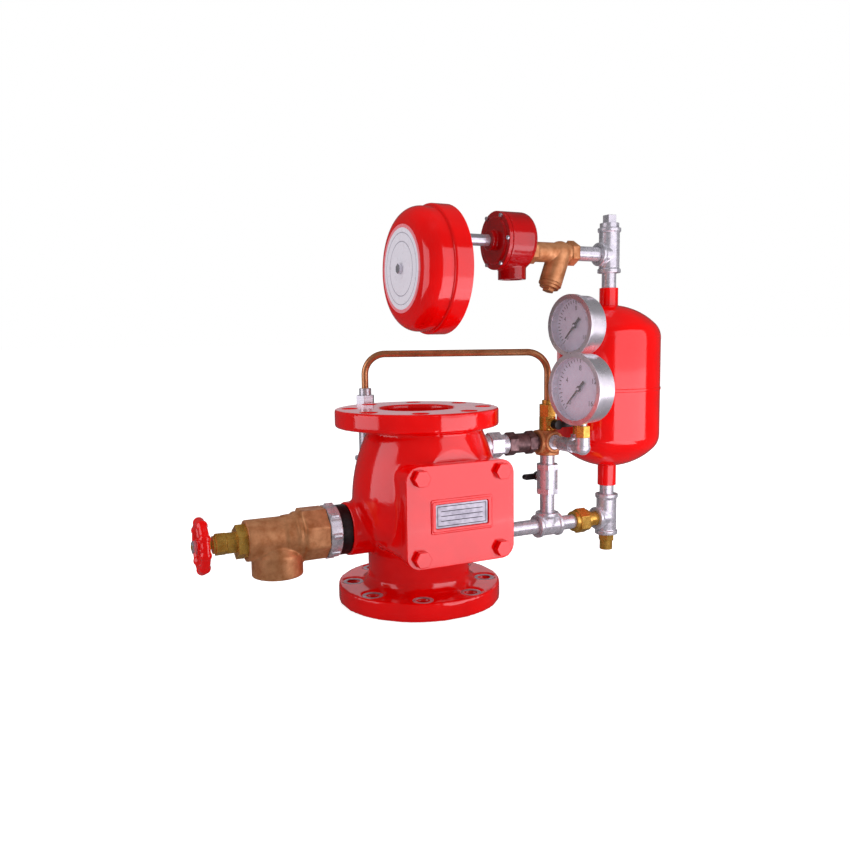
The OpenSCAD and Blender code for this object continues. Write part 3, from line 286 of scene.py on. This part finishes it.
def rowTree():  # copies of one shape round Z: copy i is moved out by Radius and turned by Start + i * Step
    tree = bpy.data.node_groups.new("row of copies", "GeometryNodeTree")
    tree.interface.new_socket("Geometry", in_out="OUTPUT", socket_type="NodeSocketGeometry")
    for name, kind in (("Shape", "Object"), ("Count", "Int"), ("Radius", "Float"), ("Start", "Float"),
                       ("Step", "Float"), ("Finish", "Material")):
        tree.interface.new_socket(name, in_out="INPUT", socket_type="NodeSocket" + kind)
    given = addNode(tree, "NodeGroupInput").outputs
    shape = addNode(tree, "GeometryNodeObjectInfo", {"Object": given["Shape"]})
    offset = addNode(tree, "ShaderNodeCombineXYZ", {"X": given["Radius"]})
    moved = addNode(tree, "GeometryNodeTransform", {"Geometry": shape.outputs["Geometry"],
                                                    "Translation": offset.outputs[0]})
    index = addNode(tree, "GeometryNodeInputIndex").outputs[0]
    angle = addNode(tree, "ShaderNodeMath", {0: index, 1: given["Step"], 2: given["Start"]},
                    operation="MULTIPLY_ADD")
    turn = addNode(tree, "ShaderNodeCombineXYZ", {"Z": angle.outputs[0]})
    points = addNode(tree, "GeometryNodePoints", {"Count": given["Count"]})
    copies = addNode(tree, "GeometryNodeInstanceOnPoints", {
        "Points": points.outputs[0], "Instance": moved.outputs[0], "Rotation": turn.outputs[0]})
    solid = addNode(tree, "GeometryNodeRealizeInstances", {"Geometry": copies.outputs[0]})
    painted = addNode(tree, "GeometryNodeSetMaterial", {"Geometry": solid.outputs[0],
                                                        "Material": given["Finish"]})
    out = addNode(tree, "NodeGroupOutput")
    tree.links.new(painted.outputs[0], out.inputs["Geometry"])
    return tree


rowOfCopies = rowTree()


def copiesOf(mesh, material, **sizes):  # runs the tree on a mesh and returns the copies as a plain mesh
    source = bpy.data.objects.new("one copy", mesh)
    holder = bpy.data.objects.new("row", bpy.data.meshes.new("row"))
    for item in (source, holder):
        bpy.context.scene.collection.objects.link(item)
    modifier = holder.modifiers.new("row", "NODES")
    modifier.node_group = rowOfCopies
    values = {"Shape": source, "Finish": material, **sizes}
    for item in rowOfCopies.interface.items_tree:
        if item.in_out == "INPUT":
            modifier[item.identifier] = values[item.name]
    made = plainMesh(holder)
    bpy.data.objects.remove(source)
    return made


def blockMesh(x, y, z):
    shape = bmesh.new()
    bmesh.ops.create_cube(shape, size=1, matrix=Matrix.Diagonal((x, y, z, 1)))
    return toMesh(shape, "block")


def turned(outline, steps):  # closed outline of (radius, height) spun about Z
    shape = bmesh.new()
    rings = [[shape.verts.new((r * math.cos(a), r * math.sin(a), z)) for r, z in outline]
             for a in (2 * math.pi * i / steps for i in range(steps))]
    for i in range(steps):
        now, then = rings[i], rings[(i + 1) % steps]
        for k in range(len(outline)):
            n = (k + 1) % len(outline)
            shape.faces.new((now[k], then[k], then[n], now[n]))
    bmesh.ops.recalc_face_normals(shape, faces=shape.faces)
    return toMesh(shape, "turned")


def joined(meshes, name):  # several meshes as one
    shape = bmesh.new()
    for mesh in meshes:
        shape.from_mesh(mesh)
    return toMesh(shape, name)


dialLook = {  # sizes in mm, angles in degrees clockwise from straight down
    "zero": 45, "sweep": 270, "steps": 32, "perMark": 4, "numberEvery": 8, "barsPerStep": 0.5,
    "tickLong": 6.5, "tickShort": 4.0, "tickWide": 1.1, "thin": 0.12, "rim": 8.5, "face": 2.0,
    "number": 11.0, "numberIn": 14.88, "numberRadius": 45,  # number sizes hold at a dial of numberRadius
}
# printed ink: near-black without shine
dialInk = plainFinish("black dial ink", "#1E1C26", "#2A2833", 0.45, 0.6, 2, 0.01)
gauges = {"lower": {"joint": "lower_needle_turn", "case": "lower_gauge_case"},
          "upper": {"joint": "upper_needle_turn", "case": "upper_gauge_case"}}


def gaugePlace(gauge):  # dial frame: X to the reader's right, Y up, Z out of the dial
    joint = next(j for j in frame["joints"] if j["name"] == gauges[gauge]["joint"])
    out = -Vector(joint["axis"]).normalized()
    up = Vector((0, 0, 1))
    right = up.cross(out)
    axes = Matrix((right, up, out)).transposed().to_4x4()
    return Matrix.Translation(Vector(joint["pos_m"]) + out * dialLook["face"] * mm) @ axes


def numeral(value, sizeMm):  # a plain number as a thin mesh
    curve = bpy.data.curves.new("number", "FONT")
    curve.body = str(value)
    curve.size = sizeMm * mm
    curve.extrude = dialLook["thin"] * mm / 2
    curve.align_x = curve.align_y = "CENTER"
    holder = bpy.data.objects.new("number", curve)
    bpy.context.scene.collection.objects.link(holder)
    return plainMesh(holder)


def dialPrint(gauge):  # ticks and numbers of one dial
    low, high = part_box(gauges[gauge]["case"])
    d = dialLook
    radius = (high.y - low.y) / 2 - d["rim"] * mm
    first = math.radians(-90 - d["zero"])
    step = -math.radians(d["sweep"] / d["steps"])
    meshes = []
    for every, length in ((1, d["tickShort"]), (d["perMark"], d["tickLong"])):
        tick = blockMesh(length * mm, d["tickWide"] * mm, d["thin"] * mm)
        meshes.append(copiesOf(tick, dialInk, Count=d["steps"] // every + 1,
                               Radius=radius - length * mm / 2, Start=first, Step=step * every))
    scale = radius / (d["numberRadius"] * mm)
    for i in range(0, d["steps"] + 1, d["numberEvery"]):
        mesh = numeral(round(i * d["barsPerStep"]), d["number"] * scale)
        a = first + step * i
        reach = radius - d["numberIn"] * mm * scale
        mesh.transform(Matrix.Translation((math.cos(a) * reach, math.sin(a) * reach, 0)))
        meshes.append(mesh)
    mesh = joined(meshes, gauge + "_dial_print")
    mesh.transform(gaugePlace(gauge) @ Matrix.Translation((0, 0, d["thin"] * mm / 2)))
    newPiece(gauge + "_dial_print", mesh, "valve", "dial_white", dialInk)


for gauge in gauges:
    dialPrint(gauge)
print("dials are printed")


gongTones = (  # share of the disc's radius and the tone from there outwards
    (0.0, "#E9E6EE"), (0.60, "#A9A7B2"), (0.625, "#E9E6EE"), (0.80, "#A9A7B2"), (0.82, "#E9E6EE"),
    (0.92, "#F08A92"), (1.0, "#E04850"),
)


def gongSheet():  # enamelled sheet disc: white field, a pink-red rim and two thin grey rings
    low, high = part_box("gong_label")
    centre, radius = (low + high) / 2, (high.z - low.z) / 2
    material, tree, shader, place = startMaterial("enamelled sheet disc")
    axis = addNode(tree, "ShaderNodeSeparateXYZ", {"Vector": place}).outputs
    flat = addNode(tree, "ShaderNodeCombineXYZ", {"Y": axis["Y"], "Z": axis["Z"]})
    away = addNode(tree, "ShaderNodeVectorMath", {0: flat.outputs[0], 1: (0, centre.y, centre.z)},
                   operation="DISTANCE")
    share = addNode(tree, "ShaderNodeMath", {0: away.outputs["Value"], 1: radius}, operation="DIVIDE")
    bands = addNode(tree, "ShaderNodeValToRGB", {"Fac": share.outputs[0]})
    stops = bands.color_ramp
    stops.interpolation = "CONSTANT"
    while len(stops.elements) < len(gongTones):
        stops.elements.new(0.5)
    for element, (start, _) in zip(stops.elements, gongTones):  # places first, because they set the order
        element.position = start
    for element, (_, tone) in zip(stops.elements, gongTones):
        element.color = linearColour(tone)
    tree.links.new(bands.outputs["Color"], shader.inputs["Base Color"])
    tree.links.new(ramp(tree, spots(tree, place, 12, 3), 0.3, 0.7, 0.22, 0.4), shader.inputs["Roughness"])
    return material


softened["gong_label"].data.materials[0] = gongSheet()
print("gong disc is finished")


seatLook = {"count": 8, "circle": 180, "inner": 18.4, "outer": 31, "top": 22.7, "thin": 1.0, "sides": 48}
# bare turned iron: pale grey with fine dull patches
bareIron = metal("spot-faced bare iron", "#D6D0D8", "#ACA6AE", 6, 0.3, 0.45, 1.2, 0.05, 0.6)


def boltSeats():  # machined rings round the lower flange's bolt holes, where the paint is cut away
    d = seatLook
    inner, outer = d["inner"] / 2 * mm, d["outer"] / 2 * mm
    low, top = (d["top"] - d["thin"]) * mm, d["top"] * mm
    ring = turned([(inner, low), (outer, low), (outer, top), (inner, top)], d["sides"])
    step = 2 * math.pi / d["count"]
    made = copiesOf(ring, bareIron, Count=d["count"], Radius=d["circle"] / 2 * mm,
                    Start=step / 2, Step=step)
    newPiece("bolt_seats", joined([made], "bolt_seats"), "valve", "red_paint", bareIron)


borderLook = {  # sizes in mm, sharp in degrees
    "gap": 0.8, "wide": 6.0, "corner": 3.0, "innerCorner": 1.0, "proud": 1.2, "sunk": 0.5,
    "soft": 0.7, "softSteps": 3, "sharp": 40,
}


def roundedLoop(wide, tall, corner, steps=6):  # points of a rounded rectangle, in order
    points = []
    for k, (sx, sz) in enumerate(((1, 1), (-1, 1), (-1, -1), (1, -1))):
        for i in range(steps + 1):
            a = math.pi / 2 * (k + i / steps)
            points.append((sx * (wide / 2 - corner) + corner * math.cos(a),
                           sz * (tall / 2 - corner) + corner * math.sin(a)))
    return points


def plateBorder():  # cast border standing round the name plate
    low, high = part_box("name_plate")
    centre, size, d = (low + high) / 2, high - low, borderLook
    front, base = low.y - d["proud"] * mm, high.y + d["sunk"] * mm
    space = 2 * d["gap"] * mm
    inner = roundedLoop(size.x + space, size.z + space, d["innerCorner"] * mm)
    grow = 2 * (d["gap"] + d["wide"]) * mm
    outer = roundedLoop(size.x + grow, size.z + grow, d["corner"] * mm)
    shape = bmesh.new()
    rings = [[shape.verts.new((centre.x + x, y, centre.z + z)) for x, z in loop]
             for loop, y in ((outer, base), (outer, front), (inner, front), (inner, base))]
    count = len(inner)
    for k in range(4):
        now, then = rings[k], rings[(k + 1) % 4]
        for i in range(count):
            n = (i + 1) % count
            shape.faces.new((now[i], now[n], then[n], then[i]))
    bmesh.ops.recalc_face_normals(shape, faces=shape.faces)
    softEdges(shape, d["soft"], d["softSteps"], d["sharp"])
    newPiece("plate_border", toMesh(shape, "plate_border"), "valve", "red_paint")


ruleLook = {"inset": 2.5, "line": 0.9, "thin": 0.12, "rows": 3, "rowShare": 0.86}
# etched and filled black: flat, close to one tone
etchBlack = plainFinish("black etched line", "#25222A", "#34303A", 0.5, 0.65, 2, 0.01)


def plateRules():  # a frame and ruled lines on the name plate
    low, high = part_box("name_plate")
    centre, size, d = (low + high) / 2, high - low, ruleLook
    margin, line = 2 * d["inset"] * mm, d["line"] * mm
    wide, tall = size.x - margin, size.z - margin
    bars = [(0, z, wide, line) for z in (-tall / 2, tall / 2)]
    bars += [(x, 0, line, tall) for x in (-wide / 2, wide / 2)]
    bars += [(0, tall * (k / (d["rows"] + 1) - 0.5), wide * d["rowShare"], line)
             for k in range(1, d["rows"] + 1)]
    meshes = []
    for x, z, w, h in bars:
        mesh = blockMesh(w, d["thin"] * mm, h)
        mesh.transform(Matrix.Translation((centre.x + x, low.y - d["thin"] * mm / 2, centre.z + z)))
        meshes.append(mesh)
    newPiece("plate_rules", joined(meshes, "plate_rules"), "valve", "plate_metal", etchBlack)


def zincNut():  # the nut on the rear riser is galvanised, the one on the cock is brass
    whole = softened["tube_nuts"]
    middle = sum(v.co.x for v in whole.data.vertices) / len(whole.data.vertices)
    other = whole.data.copy()
    for mesh, side in ((whole.data, 1), (other, -1)):
        shape = bmesh.new()
        shape.from_mesh(mesh)
        away = [v for v in shape.verts if (v.co.x - middle) * side < 0]
        bmesh.ops.delete(shape, geom=away, context="VERTS")
        shape.to_mesh(mesh)
        shape.free()
    nut = newPiece("riser_nut_look", other, bodyOf["tube_nuts"], "galvanised")
    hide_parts("tube_nuts")


boltSeats()
plateBorder()
plateRules()
zincNut()
# dark iron with a dull shine; its brown-purple tint is a painted reflection of the red valve body
ironWithPaintedRedReflection = metal("iron with painted red reflection", "#8A6C6C", "#5C4646", 8, 0.3, 0.42, 1.6, 0.1, 0.7)
# the check valve's colour carries the painted red reflection of the body beside it
softened["check_valve"].data.materials[0] = ironWithPaintedRedReflection
# satin stainless steel: white where it mirrors a soft box and grey elsewhere
satinSteel = metal("satin stainless steel", "#F2F0F4", "#E2E0E6", 12, 0.26, 0.34, 2, 0.02, 0.85)
for gauge in gauges.values():
    softened[gauge["case"]].data.materials[0] = satinSteel
print("seats, plate, nuts and gauge cases are made")


view = {  # place and far in metres, angles in degrees, lens and film in millimetres
    "place": (-0.4639, -0.9724, 0.3541), "azimuth": 26.09, "down": 6.26, "roll": -0.78,
    "lens": 34.03, "film": 36, "far": 50,
}


def photoCamera():  # the photograph's viewpoint
    azimuth, down = math.radians(view["azimuth"]), math.radians(view["down"])
    s, c = math.sin(azimuth), math.cos(azimuth)
    ahead = Vector((s * math.cos(down), c * math.cos(down), -math.sin(down)))
    right = Matrix.Rotation(math.radians(-view["roll"]), 3, ahead) @ Vector((c, -s, 0))
    up = right.cross(ahead)
    camera = bpy.data.objects.new("photo camera", bpy.data.cameras.new("photo camera"))
    camera.data.lens = view["lens"]
    camera.data.sensor_width = view["film"]
    camera.data.clip_end = view["far"]
    axes = Matrix((right, up, -ahead)).transposed().to_4x4()
    camera.matrix_world = Matrix.Translation(view["place"]) @ axes
    bpy.context.scene.collection.objects.link(camera)
    bpy.context.scene.camera = camera


lampTint = (1.0, 0.93, 1.02)  # slightly pink, as the white of the studio lamps


# brightness is the box's own, so watts grow with its area
def softBox(name, place, facing, size, brightness, seen=True, mirrored=True):
    light = bpy.data.lights.new(name, "AREA")
    light.shape = "RECTANGLE"
    light.size, light.size_y = size
    light.color = lampTint
    light.energy = brightness * math.pi * size[0] * size[1]
    lamp = bpy.data.objects.new(name, light)
    lamp.location = place
    lamp.visible_camera = seen
    lamp.visible_glossy = mirrored
    lamp.rotation_euler = Vector(facing).to_track_quat("-Z", "Y").to_euler()
    bpy.context.scene.collection.objects.link(lamp)


def byRay(tree, camera, glossy, other):  # one strength per kind of ray
    path = addNode(tree, "ShaderNodeLightPath").outputs
    seen = addNode(tree, "ShaderNodeMath", {0: path["Is Camera Ray"], 1: path["Is Transmission Ray"]},
                   operation="MAXIMUM").outputs[0]
    mirrored = addNode(tree, "ShaderNodeMix", {"Factor": path["Is Glossy Ray"],
                                               "A": other, "B": glossy}).outputs[0]
    return addNode(tree, "ShaderNodeMix", {"Factor": seen, "A": mirrored, "B": camera}).outputs[0]


skyLook = {"camera": 1.0, "glossy": 0.08, "other": 0.58}  # strength of the white surroundings by ray


def studio():  # white surroundings, soft boxes and cards; sizes in metres
    world = bpy.data.worlds.new("white studio")
    bpy.context.scene.world = world
    world.use_nodes = True
    tree = world.node_tree
    sky = tree.nodes["Background"].inputs
    tree.links.new(byRay(tree, **skyLook), sky["Strength"])
    sky["Color"].default_value = (1, 1, 1, 1)
    # the boxes at the right front whiten the cover and the chamber, and the left one marks the barrel;
    # the cards aren't seen by the camera, and the top box isn't mirrored in the paint
    softBox("right soft box", (0.485, -0.56, 0.54), (-0.05, 1, 0), (0.87, 0.52), 1.3)
    softBox("low right soft box", (0.485, -0.56, 0.14), (-0.05, 1, 0), (0.87, 0.28), 2.3)
    softBox("floor card", (0.26, -0.45, 0.004), (0, 0, 1), (0.50, 0.24), 2.3, False)
    softBox("left soft box", (-1.00, 0.10, 0.45), (1, -0.1, -0.05), (0.72, 0.80), 1.5)
    softBox("top soft box", (0.1, -0.1, 1.7), (0, 0, -1), (1.2, 0.9), 2.2, True, False)
    softBox("back card", (0.50, 1.05, 0.40), (0, -1, 0), (0.75, 0.36), 0.4, False)


floorLook = {  # half size and drop in metres; glow is the paper's own light by ray
    "half": 40, "drop": 0.0005, "paper": "#D8D8D8", "mirrored": "#3C3A3E", "rough": 0.9,
    "glow": {"camera": 0.80, "glossy": 0.05, "other": 0.10},
}


def paleFloor():  # white paper that keeps the shadow and is dark in the paint's reflections
    d = floorLook
    shape = bmesh.new()
    bmesh.ops.create_grid(shape, x_segments=1, y_segments=1, size=d["half"])
    floor = bpy.data.objects.new("pale floor", toMesh(shape, "pale floor"))
    bpy.context.scene.collection.objects.link(floor)
    floor.location.z = -d["drop"]
    material, tree, shader, place = startMaterial("white paper")
    path = addNode(tree, "ShaderNodeLightPath").outputs
    tree.links.new(twoColours(tree, path["Is Glossy Ray"], d["paper"], d["mirrored"]),
                   shader.inputs["Base Color"])
    shader.inputs["Roughness"].default_value = d["rough"]
    shader.inputs["Specular IOR Level"].default_value = 0.0
    shader.inputs["Emission Color"].default_value = (1, 1, 1, 1)
    tree.links.new(byRay(tree, **d["glow"]), shader.inputs["Emission Strength"])
    floor.data.materials.append(material)


photoCamera()
studio()
paleFloor()
bpy.context.scene.view_settings.view_transform = "Standard"
print("camera, lights and floor are in place")
